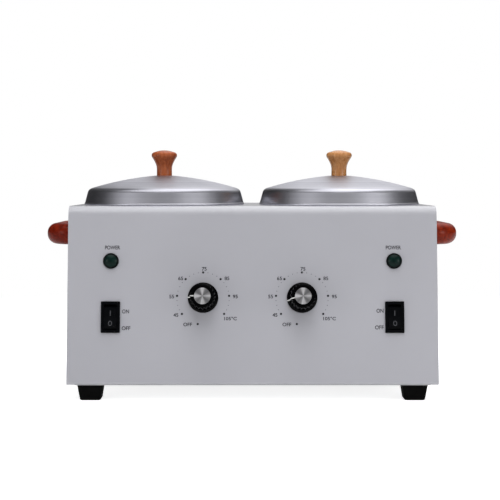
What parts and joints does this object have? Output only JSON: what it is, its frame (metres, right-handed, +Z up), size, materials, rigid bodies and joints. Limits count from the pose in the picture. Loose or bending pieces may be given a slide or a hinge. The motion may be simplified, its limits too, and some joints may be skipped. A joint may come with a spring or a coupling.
{
  "type": "double wax warmer",
  "caption": "Box-shaped wax warmer with side handles: each side has a lidded lift-out pot over a heated well, a temperature dial, a rocker switch and a pilot lamp.",
  "frame": {"origin": "on the table under the middle of the whole object's box", "axes": "+X to the right seen from the front, +Y to the rear, +Z up"},
  "size_m": [0.3692, 0.2071, 0.2152],
  "materials": {
    "casing_paint": "satin powder coat",
    "base_steel": "zinc plated",
    "foot_rubber": "matte",
    "handle_wood": "varnished",
    "left_knob_wood": "varnished",
    "right_knob_wood": "varnished",
    "lid_aluminium": "spun satin",
    "pot_aluminium": "spun satin",
    "well_aluminium": "spun",
    "band_steel": "plain",
    "insulation_fibre": "fibre",
    "shield_steel": "zinc plated",
    "sensor_copper": "bare",
    "thermostat_body": "moulded",
    "dial_black": "moulded",
    "dial_cap": "spun",
    "pointer_white": "paint fill",
    "spindle_steel": "turned",
    "switch_black": "moulded",
    "lamp_black": "moulded",
    "lens_green": "translucent",
    "screw_steel": "zinc plated",
    "gland_black": "moulded",
    "block_ceramic": "glazed",
    "earth_brass": "plain"
  },
  "bodies": {
    "casing": {"base_plate": "base_steel", "base_screws": "screw_steel", "bush_nuts": "screw_steel", "cable_gland": "gland_black", "casing_wrap": "casing_paint", "earth_stud": "earth_brass", "foot_screws": "screw_steel", "front_left_foot": "foot_rubber", "front_right_foot": "foot_rubber", "handle_screws": "screw_steel", "heater_clamp_screws": "screw_steel", "lamp_nuts": "screw_steel", "left_handle": "handle_wood", "left_heat_shield": "shield_steel", "left_heater_band": "band_steel", "left_heating_well": "well_aluminium", "left_insulation": "insulation_fibre", "left_lamp_bezel": "lamp_black", "left_lamp_lens": "lens_green", "left_sensor_line": "sensor_copper", "left_side_panel": "casing_paint", "left_switch_housing": "switch_black", "left_thermostat": "thermostat_body", "rear_left_foot": "foot_rubber", "rear_right_foot": "foot_rubber", "right_handle": "handle_wood", "right_heat_shield": "shield_steel", "right_heater_band": "band_steel", "right_heating_well": "well_aluminium", "right_insulation": "insulation_fibre", "right_lamp_bezel": "lamp_black", "right_lamp_lens": "lens_green", "right_sensor_line": "sensor_copper", "right_side_panel": "casing_paint", "right_switch_housing": "switch_black", "right_thermostat": "thermostat_body", "shield_nuts": "screw_steel", "terminal_block": "block_ceramic", "terminal_screws": "screw_steel"},
    "left_dial": {"left_dial_spindle": "spindle_steel", "left_dial_knob": "dial_black", "left_dial_cap": "dial_cap", "left_dial_pointer": "pointer_white"},
    "left_switch_rocker": {"left_rocker": "switch_black"},
    "left_pot": {"left_wax_pot": "pot_aluminium"},
    "left_lid_set": {"left_lid": "lid_aluminium", "left_lid_knob": "left_knob_wood", "left_lid_screw": "screw_steel"},
    "right_dial": {"right_dial_spindle": "spindle_steel", "right_dial_knob": "dial_black", "right_dial_cap": "dial_cap", "right_dial_pointer": "pointer_white"},
    "right_switch_rocker": {"right_rocker": "switch_black"},
    "right_pot": {"right_wax_pot": "pot_aluminium"},
    "right_lid_set": {"right_lid": "lid_aluminium", "right_lid_knob": "right_knob_wood", "right_lid_screw": "screw_steel"}
  },
  "joints": [
    {"name": "left_dial_turn", "type": "hinge", "parent": "casing", "child": "left_dial", "pos_m": [-0.0422, -0.0813, 0.08777], "axis": [0, -0.9848, 0.1736], "range_deg": [-215.3, 79.4]},
    {"name": "left_rocker_tilt", "type": "hinge", "parent": "casing", "child": "left_switch_rocker", "pos_m": [-0.121, -0.0832, 0.07125], "axis": [1, 0, 0], "range_deg": [0, 16]},
    {"name": "left_pot_lift", "type": "slide", "parent": "casing", "child": "left_pot", "axis": [0, 0, 1], "range_m": [0, 0.1]},
    {"name": "left_lid_lift", "type": "slide", "parent": "left_pot", "child": "left_lid_set", "axis": [0, 0, 1], "range_m": [0, 0.08]},
    {"name": "right_dial_turn", "type": "hinge", "parent": "casing", "child": "right_dial", "pos_m": [0.0422, -0.0813, 0.08777], "axis": [0, -0.9848, 0.1736], "range_deg": [-228.3, 66.4]},
    {"name": "right_rocker_tilt", "type": "hinge", "parent": "casing", "child": "right_switch_rocker", "pos_m": [0.121, -0.0832, 0.07125], "axis": [1, 0, 0], "range_deg": [0, 16]},
    {"name": "right_pot_lift", "type": "slide", "parent": "casing", "child": "right_pot", "axis": [0, 0, 1], "range_m": [0, 0.1]},
    {"name": "right_lid_lift", "type": "slide", "parent": "right_pot", "child": "right_lid_set", "axis": [0, 0, 1], "range_m": [0, 0.08]}
  ]
}
